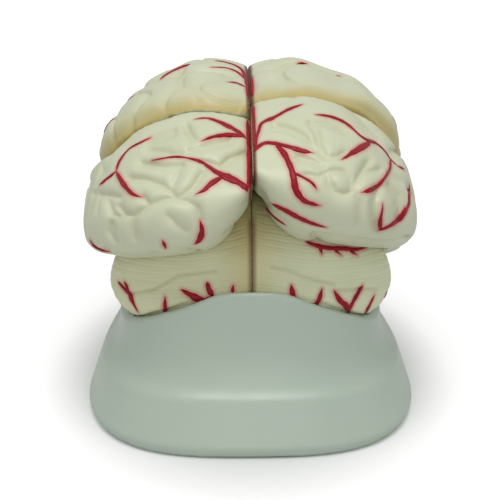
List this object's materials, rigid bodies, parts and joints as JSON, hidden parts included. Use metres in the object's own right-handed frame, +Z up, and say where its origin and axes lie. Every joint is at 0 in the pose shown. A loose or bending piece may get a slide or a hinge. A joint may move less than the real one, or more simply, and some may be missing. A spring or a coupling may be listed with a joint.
{
  "type": "brain anatomy model",
  "caption": "Anatomical brain model that takes apart into cerebral lobe sections, cerebellum and stem halves, with red arteries, on a flared hollow base.",
  "frame": {"origin": "on the plane that the base stands on, at the middle of the base's outline", "axes": "+X to the model's own right, +Y to its front (the frontal poles), +Z up"},
  "size_m": [0.1377, 0.1696, 0.1326],
  "materials": {
    "brain": "satin painted vinyl, pale olive cream",
    "artery": "satin dark red paint",
    "base": "satin moulded, pale grey green",
    "pin": "plain turned"
  },
  "bodies": {
    "stand": {"base": "base", "stand_pins": "pin"},
    "left_core": {"left_brain_stem": "brain", "left_cerebellum": "brain", "left_cerebellum_pin": "pin", "left_front_pins": "pin", "left_rear_pins": "pin", "left_cerebellum_arteries": "artery"},
    "left_front": {"left_fronto_parietal": "brain", "left_front_arteries": "artery"},
    "left_rear": {"left_temporo_occipital": "brain", "left_rear_arteries": "artery"},
    "right_core": {"right_brain_stem": "brain", "right_cerebellum": "brain", "right_cerebellum_pin": "pin", "right_front_pins": "pin", "right_rear_pins": "pin", "right_cerebellum_arteries": "artery"},
    "right_front": {"right_fronto_parietal": "brain", "right_front_arteries": "artery"},
    "right_rear": {"right_temporo_occipital": "brain", "right_rear_arteries": "artery"}
  },
  "joints": [
    {"name": "left_core_lift", "type": "slide", "parent": "stand", "child": "left_core", "axis": [0, 0, 1], "range_m": [0, 0.105]},
    {"name": "left_front_lift", "type": "slide", "parent": "left_core", "child": "left_front", "axis": [0, 0, 1], "range_m": [0, 0.075]},
    {"name": "left_rear_pull", "type": "slide", "parent": "left_core", "child": "left_rear", "axis": [-1, 0, 0], "range_m": [0, 0.072]},
    {"name": "right_core_lift", "type": "slide", "parent": "stand", "child": "right_core", "axis": [0, 0, 1], "range_m": [0, 0.105]},
    {"name": "right_front_lift", "type": "slide", "parent": "right_core", "child": "right_front", "axis": [0, 0, 1], "range_m": [0, 0.075]},
    {"name": "right_rear_pull", "type": "slide", "parent": "right_core", "child": "right_rear", "axis": [1, 0, 0], "range_m": [0, 0.072]}
  ]
}
